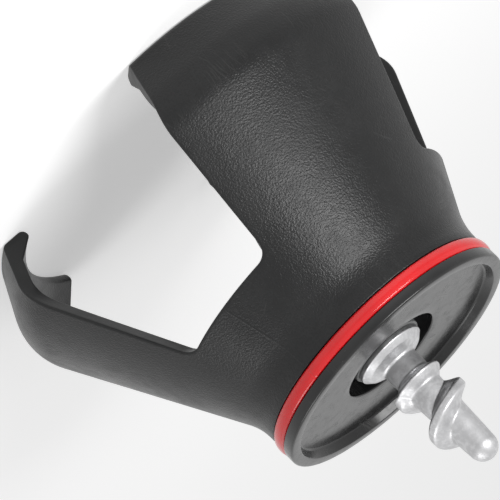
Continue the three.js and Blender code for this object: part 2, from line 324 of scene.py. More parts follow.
# Outlines of the claw's wall in the plane through the axis
def clawOutlines():
    c = claw
    foot = clawTipEnd + c["lipLength"] + c["lipSlopeHeight"]
    lipTop = clawTipEnd + c["lipLength"]
    lipRadius = tipRadius(clawTipEnd, c["tipWall"] + c["lipDepth"])
    middle = (lipRadius + tipRadius(clawTipEnd, 0)) / 2
    thinning = c["tipWall"] / math.cos(c["tipLean"]) - c["wall"] / math.cos(flareAngle)
    innerBend = pocketCentre + thinning / (math.tan(flareAngle) + math.tan(c["tipLean"]))
    hubOuter = flareRadius(outsideReach, c["gapFloor"])
    hubInner = flareRadius(insideReach, c["gapFloor"])
    outer = roundOutline([
        (hubOuter, c["gapFloor"]),
        (bendRadius, pocketCentre, c["bendFillet"]),
        (tipRadius(clawTipEnd, 0), clawTipEnd, c["endFillet"]),
        (middle, clawTipEnd),
    ])[:-1]
    inner = roundOutline([
        (hubInner, c["gapFloor"]),
        (flareRadius(insideReach, innerBend), innerBend, c["bendFillet"] - c["wall"]),
        (tipRadius(foot, c["tipWall"]), foot, c["lipFillet"]),
        (lipRadius, lipTop, c["lipFillet"]),
        (lipRadius, clawTipEnd, c["lipFillet"]),
        (middle, clawTipEnd),
    ])[:-1]
    grooveBottom = clawFloorTop - c["grooveDepth"]
    hub = roundOutline([
        (hubOuter, c["gapFloor"]),
        (c["skirtRadius"], skirtEnd, c["skirtFillet"]),
        (c["skirtRadius"], clawFloorTop, c["topEdge"]),
        (c["grooveOuter"], clawFloorTop),
        (c["grooveOuter"], grooveBottom),
        (c["grooveInner"], grooveBottom),
        (c["grooveInner"], clawFloorTop),
        (c["floorHole"], clawFloorTop),
        (c["floorHole"], clawFloorBottom),
        (flareRadius(insideReach, clawFloorBottom), clawFloorBottom, c["floorFillet"]),
        (hubInner, c["gapFloor"]),
    ], c["hubArcStep"])
    return outer, inner, hub, foot


# Distances that start fine at an edge and grow to the even step
def gradedDistances(total, step, fine, bothEnds=False):
    start = [fine * k for k in meshing["edgeGrading"]]
    if bothEnds:
        middle = np.linspace(start[-1], total - start[-1], max(2, round(total / step)))
        return np.concatenate([start[:-1], middle, [total - d for d in reversed(start[:-1])]])
    return np.concatenate([start[:-1], np.linspace(start[-1], total, max(2, round(total / step)))])


# Radius of a line that runs downwards, at a height
def radiusAt(line, height):
    return float(np.interp(-height, -line[:, 1], line[:, 0]))


# Half of one third of the claw: the finger's middle lies on +X, and the gap's middle at 60 degrees
def clawHalf():
    c = claw
    outer, inner, hub, foot = clawOutlines()
    fine = c["edgeRound"]
    tipZone = foot + c["tipZoneRise"]

    # rungs across the wall, from the gap's floor down to the tip
    filletTurn = math.pi / 2 - c["gapSideAngle"]
    heights = []
    for k in range(c["filletSteps"] + 1):
        drop = 1 - math.cos(filletTurn * k / c["filletSteps"])
        heights.append(c["gapFloor"] - c["gapFillet"] * drop)
    count = round((heights[-1] - tipZone) / c["gridStep"])
    heights += list(np.linspace(heights[-1], tipZone, count + 1)[1:])
    cutOuter = int(np.argmax(outer[:, 1] < tipZone))
    cutInner = int(np.argmax(inner[:, 1] < tipZone))
    outerRungs = [(radiusAt(outer[:cutOuter + 1], z), z) for z in heights]
    innerRungs = [(radiusAt(inner[:cutInner + 1], z), z) for z in heights]
    outerTip = np.vstack([outerRungs[-1], outer[cutOuter:]])
    innerTip = np.vstack([innerRungs[-1], inner[cutInner:]])
    tipShares = np.linspace(0, 1, c["tipSteps"] + 1)[1:]
    outerRungs += [tuple(p) for p in pointsAt(outerTip, tipShares * lengthAlong(outerTip)[-1])]
    innerRungs += [tuple(p) for p in pointsAt(innerTip, tipShares * lengthAlong(innerTip)[-1])]
    rungShares = [0, 0.035, 0.07, 0.105, 0.15, 0.3, 0.5, 0.7, 0.85, 0.895, 0.93, 0.965, 1]
    last = len(outerRungs) - 1
    across = len(rungShares) - 1

    # columns over the finger and over the half gap beside it
    fingerWidth = 12 * mm
    fingerShares = 1 - gradedDistances(fingerWidth, c["gridStep"], fine) / fingerWidth
    gapWidth = 5.7 * mm
    gapShares = gradedDistances(gapWidth, c["gridStep"], fine, bothEnds=True) / gapWidth

    points, kinds = [], []
    baseLevel = clawFloorBottom + 2 * mm
    baseReach = c["grooveOuter"] + 1.2 * mm

    # the outside, the base under the cap, or the inside
    def skinKind(radius, height):
        if height > baseLevel:
            return "outer" if radius > baseReach else "base"
        if height > pocketCentre:
            middle = flareRadius(outsideReach, height) - c["wall"] / 2
        else:
            middle = tipRadius(height, 0) - c["tipWall"] / 2
        return "outer" if radius > middle else "inner"

    def addPoint(radius, height, angle, kind=None):
        points.append((radius * math.cos(angle), radius * math.sin(angle), height))
        kinds.append(kind or skinKind(radius, height))
        return len(points) - 1

    # the skin of the finger: outer face, end face and inner face, as one closed run of rows
    def rung(i, k):
        share = rungShares[k]
        a, b = outerRungs[i], innerRungs[i]
        return a[0] + (b[0] - a[0]) * share, a[1] + (b[1] - a[1]) * share

    rows = outerRungs + [rung(last, k) for k in range(1, across)] + innerRungs[::-1]
    skin = []
    for radius, height in rows:
        half = fingerSide(radius, height)[0]
        skin.append([addPoint(radius, height, half * share) for share in fingerShares])

    # the hub above the gap, from the gap's outer edge over the base to its inner edge
    hubLine = divide(hub, c["hubStep"])
    total = lengthAlong(hubLine)[-1]
    ends = [fine * k for k in meshing["edgeGrading"]]
    kept = [d for d in lengthAlong(hubLine) if ends[-1] + fine < d < total - ends[-1] - fine]
    hubRows = pointsAt(hubLine, ends + kept + [total - d for d in reversed(ends)])
    hubAlong = lengthAlong(hubRows) / lengthAlong(hubRows)[-1]
    halfOuter = fingerSide(*rows[0])[0]
    halfInner = fingerSide(*rows[-1])[0]
    hubSkin, hubGap = [], []
    for i, (radius, height) in enumerate(hubRows):
        half = halfOuter + (halfInner - halfOuter) * hubAlong[i]
        if i == 0:
            hubSkin.append(skin[0])
        elif i == len(hubRows) - 1:
            hubSkin.append(skin[-1])
        else:
            hubSkin.append([addPoint(radius, height, half * s) for s in fingerShares])
        beside = [hubSkin[-1][0]]
        for share in gapShares[1:]:
            beside.append(addPoint(radius, height, half + (thirdHalf - half) * share))
        hubGap.append(beside)

    # the finger's side, across the wall
    side = []
    for i in range(last + 1):
        line = [skin[i][0]]
        for k in range(1, across):
            if i == last:
                line.append(skin[last + k][0])
                continue
            radius, height = rung(i, k)
            line.append(addPoint(radius, height, fingerSide(radius, height)[0], "side"))
        line.append(skin[len(rows) - 1 - i][0])
        side.append(line)

    # the gap's floor
    floor = []
    for k in range(across + 1):
        if k == 0:
            floor.append(hubGap[0])
        elif k == across:
            floor.append(hubGap[-1])
        else:
            radius, height = rung(0, k)
            half = fingerSide(radius, height)[0]
            line = [side[0][k]]
            for share in gapShares[1:]:
                line.append(addPoint(radius, height, half + (thirdHalf - half) * share, "side"))
            floor.append(line)

    faces = []

    def addGrid(grid):
        for a, b in zip(grid[:-1], grid[1:]):
            for k in range(len(a) - 1):
                faces.append((a[k], a[k + 1], b[k + 1], b[k]))

    addGrid(skin)
    addGrid(hubSkin[::-1])
    addGrid([row[::-1] for row in hubGap[::-1]])
    addGrid([row[::-1] for row in side])
    addGrid(floor)

    # the cut face in the middle of the gap
    seam = [row[-1] for row in hubGap] + [floor[k][-1] for k in range(across - 1, 0, -1)]
    faces.append(tuple(seam))

    # the edge that runs round the gap's floor and the finger, with the normals of the faces that it joins
    step = np.gradient(np.array(rows), axis=0)
    step /= np.linalg.norm(step, axis=1)[:, None]
    faceNormals = np.stack([-step[:, 1], step[:, 0]], axis=1)
    edge = []

    def addEdge(index, faceNormal, angle, sideNormal):
        outward, up = faceNormal
        away = np.array([outward * math.cos(angle), outward * math.sin(angle), up])
        edge.append((np.array(points[index]), away, np.array(sideNormal)))

    def addGapEdge(index, faceNormal):
        addEdge(index, faceNormal, math.atan2(points[index][1], points[index][0]), (0, 0, -1))

    for index in hubGap[0][:0:-1]:
        addGapEdge(index, faceNormals[0])
    for i, (radius, height) in enumerate(rows):
        half, sideNormal = fingerSide(radius, height)
        addEdge(skin[i][0], faceNormals[i], half, sideNormal)
    for index in hubGap[-1][1:]:
        addGapEdge(index, faceNormals[-1])
    return np.array(points), kinds, faces, edge


# Rounds the edge: points nearer than the radius move onto the arc between the two faces
def roundEdge(points, kinds, edge, radius):
    pointsBetween = 6
    pointsAtOnce = 400  # to spare memory
    fineShares = np.linspace(0, 1, pointsBetween, endpoint=False)[None, :, None]

    def spread(k):
        values = np.array([e[k] for e in edge])
        between = values[:-1, None] * (1 - fineShares) + values[1:, None] * fineShares
        return np.concatenate([between.reshape(-1, 3), values[-1:]])

    def unit(vectors):
        return vectors / np.linalg.norm(vectors, axis=1)[:, None]

    at, skinNormal, sideNormal = spread(0), unit(spread(1)), unit(spread(2))
    blocks = np.array_split(points, len(points) // pointsAtOnce + 1)
    nearest = np.concatenate([
        np.argmin(((block[:, None] - at[None]) ** 2).sum(axis=2), axis=1) for block in blocks])
    distance = np.linalg.norm(points - at[nearest], axis=1)[:, None]
    onSide = (np.array(kinds) == "side")[:, None]
    own = np.where(onSide, sideNormal[nearest], skinNormal[nearest])
    other = np.where(onSide, skinNormal[nearest], sideNormal[nearest])
    share = (own * other).sum(axis=1)[:, None]
    between = np.arccos(np.clip(share, -1, 1))
    reach = radius * np.tan(between / 2)
    toEdge = unit(other - share * own)
    centre = -radius * (own + other) / (1 + share)
    turn = between / 2 * (1 - distance / reach)
    spoke = (np.sin(between - turn) * own + np.sin(turn) * other) / np.sin(between)
    return np.where(distance < reach, points + centre + radius * spoke + distance * toEdge, points)


# The mould's fine raised line in the middle of the gap, on the outside of the hub
def raiseParting(points, kinds):
    c = claw
    x, y, z = points.T
    radius = np.hypot(x, y)
    across = radius * np.abs(np.arctan2(y, x) - thirdHalf)
    low = c["gapFloor"] + c["partingMargin"]
    high = clawFloorTop - c["partingMargin"]
    outside = (np.array(kinds) == "outer") & (radius > c["grooveOuter"] + c["grooveMargin"])
    near = np.clip(1 - across / c["partingWidth"], 0, 1) * (outside & (z > low) & (z < high))
    return points * (1 + (c["partingRise"] * near / radius)[:, None] * np.array([1, 1, 0]))


# One third of the claw, mirrored from its half and turned to the finger's angle
def clawThird(name, angle, half):
    points, kinds, faces = half
    mirrored, extra = {}, []
    for i, (x, y, z) in enumerate(points):
        if abs(y) < tiny:
            mirrored[i] = i
        else:
            mirrored[i] = len(points) + len(extra)
            extra.append((x, -y, z))
    everyPoint = np.vstack([points, extra])
    everyFace = faces + [tuple(mirrored[i] for i in reversed(face)) for face in faces]
    c, s = math.cos(angle), math.sin(angle)
    everyPoint = everyPoint @ np.array([[c, s, 0], [-s, c, 0], [0, 0, 1]])
    piece = makePiece(name, everyPoint, everyFace)
    shares = [claw["grainShares"][kind] for kind in kinds]
    shares += [shares[i] for i in mirrored if mirrored[i] != i]
    piece.data.attributes.new("grain", "FLOAT", "POINT").data.foreach_set("value", shares)
    return piece


def buildClaw():
    points, kinds, faces, edge = clawHalf()
    rounded = roundEdge(points, kinds, edge, claw["edgeRound"])
    half = (raiseParting(rounded, kinds), kinds, faces)
    fingers = [("front", -90 * degree), ("right", 30 * degree), ("left", 150 * degree)]
    pieces = []
    for side, angle in fingers:
        piece = clawThird("claw_" + side, angle, half)
        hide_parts("claw_hub", "finger_" + side)
        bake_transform(piece)
        pieces.append(piece)
    return pieces


clawPieces = buildClaw()
print("claw built:", sum(len(p.data.polygons) for p in clawPieces), "faces")


# Base cap and accent ring

cap = {
    "radius": 14.96 * mm,
    "rimWidth": 1.3 * mm,
    "rimEdge": 0.25 * mm,
    "innerEdge": 0.12 * mm,
    "dishDepth": 1 * mm,
    "dishDraft": 0.35 * mm,
    "dishFillet": 0.3 * mm,
    "holeRadius": 5.87 * mm,
    "holeEdge": 0.15 * mm,
    "spigotRadius": 13.1 * mm,
    "spigotWall": 1.5 * mm,
    "spigotLength": 1.7 * mm,
    "ringGrooveRadius": 13.6 * mm,
    "rimBand": 1.25 * mm,
    "seatGap": 0.05 * mm,
    "rowStep": 0.9 * mm,
}
ring = {
    "radius": 14.88 * mm,
    "crown": 0.2 * mm,
    "edge": 0.42 * mm,
    "height": 1.55 * mm,
    "crownedShare": 0.72,  # of the height
    "crownSteps": 14,
    "arcStep": 0.06 * mm,
    "segments": 1080,
    "partingDepth": 0.05 * mm,
    "partingWidth": 0.16 * mm,
    "firstSeam": -30 * degree,  # of three
}
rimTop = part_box("base_cap")[1].z
rimBottom = rimTop - cap["rimBand"]
capUnderside = clawFloorTop + cap["seatGap"]


def buildCap():
    c = cap
    inner = c["radius"] - c["rimWidth"]
    dishFloor = rimTop - c["dishDepth"]
    spigotEnd = clawFloorTop - c["spigotLength"]
    outline = roundOutline([
        (c["holeRadius"], capUnderside),
        (c["holeRadius"], dishFloor, c["holeEdge"]),
        (inner - c["dishDraft"], dishFloor, c["dishFillet"]),
        (inner, rimTop, c["innerEdge"]),
        (c["radius"], rimTop, c["rimEdge"]),
        (c["radius"], rimBottom, c["innerEdge"]),
        (c["ringGrooveRadius"], rimBottom),
        (c["ringGrooveRadius"], capUnderside),
        (c["spigotRadius"], capUnderside),
        (c["spigotRadius"], spigotEnd, c["innerEdge"]),
        (c["spigotRadius"] - c["spigotWall"], spigotEnd, c["innerEdge"]),
        (c["spigotRadius"] - c["spigotWall"], capUnderside),
    ])
    piece = turnedPiece("base_cap_shell", divide(outline, c["rowStep"]))
    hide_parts("base_cap")
    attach(piece, "base")
    return piece


def buildRing():
    r = ring
    inner = cap["ringGrooveRadius"] + cap["seatGap"]
    bottom = capUnderside
    top = bottom + r["height"]
    face = [(r["radius"], top, r["edge"])]
    for k in range(1, r["crownSteps"]):
        t = 1 - 2 * k / r["crownSteps"]
        if abs(t) < r["crownedShare"]:
            face.append((r["radius"] + r["crown"] * (1 - t * t), (top + bottom) / 2 + t * r["height"] / 2))
    face.append((r["radius"], bottom, r["edge"]))
    outline = roundOutline([(inner, bottom), (inner, top)] + face, r["arcStep"])

    # a fine sunk line at each of the mould's three seams
    def partedRadius(radius, height, angle):
        nearest = abs((angle - r["firstSeam"] + thirdHalf) % (2 * thirdHalf) - thirdHalf)
        depth = max(0, 1 - radius * nearest / r["partingWidth"]) * r["partingDepth"]
        return radius - (depth if radius > r["radius"] - r["edge"] else 0)

    piece = turnedPiece("accent_ring_band", outline, r["segments"], partedRadius)
    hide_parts("accent_ring")
    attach(piece, "base")
    return piece


capPiece = buildCap()
ringPiece = buildRing()
print("cap and ring built")


# Bushing and washer

bushing = {
    "bore": 3.02 * mm,
    "sleeveRadius": 3.97 * mm,
    "flangeRadius": 4.3 * mm,
    "flangeThickness": 1.3 * mm,
    "edge": 0.12 * mm,
    "arcStep": 0.05 * mm,
    "segments": 128,
}
washer = {
    "bore": 3.02 * mm,
    "radius": 7.3 * mm,
    "bottom": 0.95 * mm,
    "thickness": 0.8 * mm,
    "edge": 0.15 * mm,
    "arcStep": 0.05 * mm,
    "segments": 192,
}


def buildBushing():
    b = bushing
    top = capUnderside + b["flangeThickness"]
    outline = roundOutline([
        (b["bore"], clawFloorBottom),
        (b["bore"], top, b["edge"]),
        (b["flangeRadius"], top, b["edge"]),
        (b["flangeRadius"], capUnderside, b["edge"]),
        (b["sleeveRadius"], capUnderside),
        (b["sleeveRadius"], clawFloorBottom),
    ], b["arcStep"])
    piece = turnedPiece("shank_bushing_sleeve", outline, b["segments"])
    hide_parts("shank_bushing")
    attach(piece, "base")
    return piece


def buildWasher():
    w = washer
    top = w["bottom"] + w["thickness"]
    outline = roundOutline([
        (w["bore"], w["bottom"], w["edge"]),
        (w["bore"], top, w["edge"]),
        (w["radius"], top, w["edge"]),
        (w["radius"], w["bottom"], w["edge"]),
    ], w["arcStep"])
    piece = turnedPiece("pocket_washer_disc", outline, w["segments"])
    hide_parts("pocket_washer")
    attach(piece, "base")
    return piece


bushingPiece = buildBushing()
washerPiece = buildWasher()
print("bushing and washer built")


# Grip screw

screw = {
    "headThickness": 0.9 * mm,
    "headRadius": 4.7 * mm,
    "headEdge": 0.35 * mm,
    "shankRadius": 2.9 * mm,
    "shoulderBottom": 5.3 * mm,
    "shoulderRadius": 4.05 * mm,
    "shoulderEdge": 0.12 * mm,
    "shoulderBand": 0.5 * mm,
    "bandEdge": 0.2 * mm,
    "shoulderCrownRadius": 3.4 * mm,
    "shoulderStep": 0.6 * mm,
    "shoulderRise": 1.15 * mm,
    "neckRadius": 2.1 * mm,
    "neckFillet": 0.45 * mm,
    "collarRadius": 3.1 * mm,
    "collarLevel": 9.8 * mm,
    "collarUnderside": 0.65 * mm,
    "collarTopside": 1.1 * mm,
    "collarEdge": 0.28 * mm,
    "coreRadius": 2.05 * mm,
    "coreTipRadius": 1.65 * mm,
    "nose": 1.7 * mm,
    "noseSteps": 20,
    "threadRadius": 3.42 * mm,
    "threadPitch": 5.4 * mm,
    "threadRoot": 2.6 * mm,
    "threadTurns": 1.42,
    "threadStart": 0.246,  # turns from the front
    "threadLeadIn": 0.12,
    "threadRunOut": 0.25,
    "crestShare": 0.24,  # flat part of the thread's section
    "footShare": 1.1,
    "castUnevenness": 0.04 * mm,
    "castSize": 1.7 * mm,
    "arcStep": 0.06 * mm,
    "rowStep": 0.13 * mm,
    "segments": 168,
}
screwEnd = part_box("grip_screw")[1].z


# The casting's unevenness, and above the collar the thread
def threadShape(radius, height, angle):
    s = screw
    place = Vector((radius * math.cos(angle), radius * math.sin(angle), height))
    uneven = noise.noise(place / s["castSize"]) * s["castUnevenness"]
    shown = min(1, max(0, (height - s["shoulderBottom"]) / s["shoulderBand"]))
    if height < s["collarLevel"] or height > screwEnd - s["nose"] / 2:
        return radius + uneven * shown
    turns = ((angle + math.pi / 2) / fullTurn - s["threadStart"]) % 1
    best = 0
    while turns <= s["threadTurns"]:
        middle = s["collarLevel"] + s["threadPitch"] * turns
        grown = min(1, turns / s["threadLeadIn"], (s["threadTurns"] - turns) / s["threadRunOut"])
        offset = abs(height - middle) / (s["threadRoot"] / 2)
        ramp = (offset - s["crestShare"]) / (s["footShare"] - s["crestShare"])
        section = (1 + math.cos(math.pi * min(1, max(0, ramp)))) / 2
        best = max(best, section * math.sin(grown * math.pi / 2))
        turns += 1
    crest = max(s["threadRadius"], radius)
    return radius + (crest - radius) * best + uneven


def buildScrew():
    s = screw
    bandTop = s["shoulderBottom"] + s["shoulderBand"]
    noseStart = screwEnd - s["nose"]
    outline = roundOutline([
        (0, 0),
        (s["headRadius"], 0, s["headEdge"]),
        (s["headRadius"], s["headThickness"]),
        (s["shankRadius"], s["headThickness"]),
        (s["shankRadius"], s["shoulderBottom"]),
        (s["shoulderRadius"], s["shoulderBottom"], s["shoulderEdge"]),
        (s["shoulderRadius"], bandTop, s["bandEdge"]),
        (s["shoulderCrownRadius"], bandTop + s["shoulderStep"], s["neckFillet"]),
        (s["neckRadius"], bandTop + s["shoulderRise"], s["neckFillet"]),
        (s["neckRadius"], s["collarLevel"] - s["collarUnderside"], s["neckFillet"]),
        (s["collarRadius"], s["collarLevel"], s["collarEdge"]),
        (s["coreRadius"], s["collarLevel"] + s["collarTopside"], s["neckFillet"]),
        (s["coreTipRadius"], noseStart),
    ], s["arcStep"])
    turns = [math.pi / 2 * (k + 1) / s["noseSteps"] for k in range(s["noseSteps"])]
    tip = np.array([(s["coreTipRadius"] * math.cos(t), noseStart + s["nose"] * math.sin(t)) for t in turns])
    tip[-1, 0] = 0
    outline = divide(np.vstack([outline, tip]), s["rowStep"])
    piece = turnedPiece("grip_screw_casting", outline, s["segments"], threadShape)
    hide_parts("grip_screw")
    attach(piece, "base")
    return piece


screwPiece = buildScrew()
print("screw built:", len(screwPiece.data.polygons), "faces")


# Node helpers

# Adds a node; a value that is a socket is linked, any other is set
def addNode(tree, kind, values=(), **settings):
    node = tree.nodes.new("ShaderNode" + kind)
    for key, value in settings.items():
        setattr(node, key, value)
    for name, value in dict(values).items():
        if isinstance(value, bpy.types.NodeSocket):
            tree.links.new(value, node.inputs[name])
        else:
            node.inputs[name].default_value = value
    return node


def doMath(tree, operation, a, b=0.0, clamp=False):
    return addNode(tree, "Math", {0: a, 1: b}, operation=operation, use_clamp=clamp).outputs[0]


def multiplyAdd(tree, value, factor, added):
    return addNode(tree, "Math", {0: value, 1: factor, 2: added}, operation="MULTIPLY_ADD").outputs[0]


# Maps a value from one range to another, clamped and eased
def remap(tree, value, low, high, toLow=0.0, toHigh=1.0):
    values = {"Value": value, "From Min": low, "From Max": high, "To Min": toLow, "To Max": toHigh}
    return addNode(tree, "MapRange", values, interpolation_type="SMOOTHSTEP").outputs["Result"]


def scaleBy(tree, vector, factor):
    return addNode(tree, "VectorMath", {0: vector, "Scale": factor}, operation="SCALE").outputs[0]


# The place in a group, divided by one of its inputs
def cellPlace(tree, given, label):
    return scaleBy(tree, given["Place"], doMath(tree, "DIVIDE", 1.0, given[label]))


def noiseIn(tree, vector, scale, detail=2.0, roughness=0.5):
    values = {"Vector": vector, "Scale": scale, "Detail": detail, "Roughness": roughness}
    return addNode(tree, "TexNoise", values).outputs


def noiseAt(tree, place, size, detail=2.0, roughness=0.5):
    return noiseIn(tree, scaleBy(tree, place, 1 / size), 1.0, detail, roughness)["Fac"]


# Opens a shader node group with a Place input in millimetres, and the named inputs and outputs
def openGroup(name, inputs, outputs):
    tree = bpy.data.node_groups.new(name, "ShaderNodeTree")
    tree.interface.new_socket("Place", in_out="INPUT", socket_type="NodeSocketVector")
    for label, value in inputs.items():
        socket = tree.interface.new_socket(label, in_out="INPUT", socket_type="NodeSocketFloat")
        socket.default_value = value
    for label in outputs:
        tree.interface.new_socket(label, in_out="OUTPUT", socket_type="NodeSocketFloat")
    return tree, tree.nodes.new("NodeGroupInput").outputs, tree.nodes.new("NodeGroupOutput").inputs


# Effects that several finishes share

# Fine leathery grain of a sandblasted mould: pebbles with sand on them. Its second output marks the valleys,
# for painted shade in them.
grainShape = {
    "warpScale": 0.9,
    "warpReach": 0.9,
    "smoothness": 0.55,
    "pebbles": (0.72, 0.08),  # distance from a cell's middle, at the valleys and at the tops
    "pebbleShare": 0.5,
    "sandScale": 1.5,
    "sand": (0.3, 0.7),
    "sandShare": 0.5,
    # painted shade in the grain's valleys: the darkening begins at the first height and is full at the
    # second
    "shadedValleys": (0.42, 0.12),  # height at their brim and in their middle
}


def buildMouldedGrain():
    g = grainShape
    tree, given, out = openGroup("mouldedGrain", {"Cell": 0.4}, ["Height", "ValleyShade"])
    scaled = cellPlace(tree, given, "Cell")
    pushed = scaleBy(tree, noiseIn(tree, scaled, g["warpScale"], 1.0)["Color"], g["warpReach"])
    moved = addNode(tree, "VectorMath", {0: scaled, 1: pushed}, operation="ADD").outputs[0]
    look = {"Vector": moved, "Scale": 1.0, "Smoothness": g["smoothness"]}
    cells = addNode(tree, "TexVoronoi", look, feature="SMOOTH_F1")
    pebble = remap(tree, cells.outputs["Distance"], *g["pebbles"])
    sand = remap(tree, noiseIn(tree, scaled, g["sandScale"], 1.0)["Fac"], *g["sand"])
    sanded = doMath(tree, "MULTIPLY", sand, g["sandShare"])
    height = multiplyAdd(tree, pebble, g["pebbleShare"], sanded)
    tree.links.new(height, out["Height"])
    # painted shade: this output marks the grain's valleys, to be darkened
    tree.links.new(remap(tree, height, *g["shadedValleys"]), out["ValleyShade"])
    return tree


# Slow changes over a surface, and blotches within them
driftShape = {
    "slow": (0.3, 0.7),
    "blotchScale": 5.0,
    "blotchDetail": 3.0,
    "blotchRoughness": 0.6,
    "blotches": (0.4, 0.7),
}


def buildToneDrift():
    d = driftShape
    tree, given, out = openGroup("toneDrift", {"Size": 9.0}, ["Drift", "Blotch"])
    scaled = cellPlace(tree, given, "Size")
    slow = noiseIn(tree, scaled, 1.0)["Fac"]
    quick = noiseIn(tree, scaled, d["blotchScale"], d["blotchDetail"], d["blotchRoughness"])["Fac"]
    tree.links.new(remap(tree, slow, *d["slow"]), out["Drift"])
    tree.links.new(remap(tree, quick, *d["blotches"]), out["Blotch"])
    return tree


# Short hairline scratches in two directions
scratchShape = {
    "turns": (0.6, 2.1),  # radians about the screw's axis
    "scale": 0.35,
    "line": (0.012, 0.003),  # distance from the noise's middle value, at a scratch's side and in it
    "patchSize": 4.0,
    "patches": (0.5, 0.68),
}


def buildFineScratches():
    s = scratchShape
    tree, given, out = openGroup("fineScratches", {"Length": 6.0, "Width": 0.12, "Amount": 0.5}, ["Mask"])
    across = doMath(tree, "DIVIDE", 1.0, given["Width"])
    along = doMath(tree, "DIVIDE", 1.0, given["Length"])
    stretch = addNode(tree, "CombineXYZ", {"X": along, "Y": across, "Z": along}).outputs[0]
    masks = []
    for turn in s["turns"]:
        values = {"Vector": given["Place"], "Angle": turn}
        turned = addNode(tree, "VectorRotate", values, rotation_type="AXIS_ANGLE").outputs[0]
        thin = addNode(tree, "VectorMath", {0: turned, 1: stretch}, operation="MULTIPLY").outputs[0]
        lines = noiseIn(tree, thin, s["scale"], 1.0)["Fac"]
        near = doMath(tree, "ABSOLUTE", doMath(tree, "SUBTRACT", lines, 0.5))
        masks.append(remap(tree, near, *s["line"]))
    both = doMath(tree, "MAXIMUM", *masks)
    where = remap(tree, noiseAt(tree, given["Place"], s["patchSize"]), *s["patches"])
    shown = doMath(tree, "MULTIPLY", both, where)
    tree.links.new(doMath(tree, "MULTIPLY", shown, given["Amount"]), out["Mask"])
    return tree


# Sparse specks of dust
def buildDustSpecks():
    tree, given, out = openGroup("dustSpecks", {"Cell": 1.6, "Speck": 0.07, "Share": 0.3}, ["Mask"])
    cells = addNode(tree, "TexVoronoi", {"Vector": cellPlace(tree, given, "Cell"), "Scale": 1.0}).outputs
    reach = doMath(tree, "DIVIDE", given["Speck"], given["Cell"])
    inside = doMath(tree, "SUBTRACT", 1.0, doMath(tree, "DIVIDE", cells["Distance"], reach), True)
    chance = addNode(tree, "SeparateColor", {"Color": cells["Color"]}).outputs["Red"]
    chosen = doMath(tree, "LESS_THAN", chance, given["Share"])
    tree.links.new(doMath(tree, "MULTIPLY", inside, chosen), out["Mask"])
    return tree


# Rubbed edges and deep corners, from how sharply the surface turns
wearShape = {
    "breakSize": 0.8,
    "breakDetail": 3.0,
    "breaks": (0.35, 0.6),
    "recess": (0.49, 0.42),
}


def buildEdgeWear():
    w = wearShape
    tree, given, out = openGroup("edgeWear", {"Start": 0.52, "End": 0.6}, ["Mask", "Recess"])
    sharpness = addNode(tree, "NewGeometry").outputs["Pointiness"]
    values = {"Value": sharpness, "From Min": given["Start"], "From Max": given["End"]}
    worn = addNode(tree, "MapRange", values).outputs["Result"]
    broken = remap(tree, noiseAt(tree, given["Place"], w["breakSize"], w["breakDetail"]), *w["breaks"])
    tree.links.new(doMath(tree, "MULTIPLY", worn, broken), out["Mask"])
    tree.links.new(remap(tree, sharpness, *w["recess"]), out["Recess"])
    return tree


mouldedGrain = buildMouldedGrain()
toneDrift = buildToneDrift()
fineScratches = buildFineScratches()
dustSpecks = buildDustSpecks()
edgeWear = buildEdgeWear()
print("shared effects built:", len(bpy.data.node_groups))


# Materials

# A material with its shader, and the place on the piece in millimetres
def startMaterial(name):
    material = bpy.data.materials.new(name)
    material.use_nodes = True
    tree = material.node_tree
    shader = tree.nodes["Principled BSDF"]
    place = scaleBy(tree, addNode(tree, "TexCoord").outputs["Object"], 1 / mm)
    return material, tree, shader, place


def useGroup(tree, group, place, values):
    node = tree.nodes.new("ShaderNodeGroup")
    node.node_tree = group
    tree.links.new(place, node.inputs["Place"])
    for label, value in values.items():
        node.inputs[label.capitalize()].default_value = value
    return node.outputs


def mixColour(tree, share, a, b):
    node = tree.nodes.new("ShaderNodeMix")
    node.data_type = "RGBA"
    for socket, value in zip((node.inputs[0], node.inputs[6], node.inputs[7]), (share, a, b)):
        if isinstance(value, bpy.types.NodeSocket):
            tree.links.new(value, socket)
        else:
            socket.default_value = value
    return node.outputs[2]


def bumpFrom(tree, shader, height, distance):
    bump = addNode(tree, "Bump", {"Height": height, "Distance": distance, "Strength": 1.0})
    tree.links.new(bump.outputs["Normal"], shader.inputs["Normal"])


# Roughness between a finish's two values, the first where the given value is 0
def roughnessFrom(tree, shader, value, finish, full=1.0):
    tree.links.new(remap(tree, value, 0.0, full, *finish["roughness"]), shader.inputs["Roughness"])


rubberFinish = {
    "dark": (0.0065, 0.0067, 0.0069, 1),
    "light": (0.0145, 0.0148, 0.0151, 1),
    "dusty": (0.14, 0.14, 0.137, 1),
    "roughness": (0.31, 0.42),  # polished and dull
    "specular": 0.34,
    "grain": {"cell": 0.27},
    "grainDepth": 0.022 * mm,
    "drift": {"size": 9.0},
    "driftShare": 0.45,
    "blotchShare": 0.35,
    "fullTone": 0.8,  # the sum of the two
    "dust": {"cell": 2.2, "speck": 0.06, "share": 0.25},
    "scratches": {"length": 7.0, "width": 0.1, "amount": 0.6},
    "scratchShare": 0.2,
    "wear": {"start": 0.53, "end": 0.62},
    "wearShare": 0.5,
}


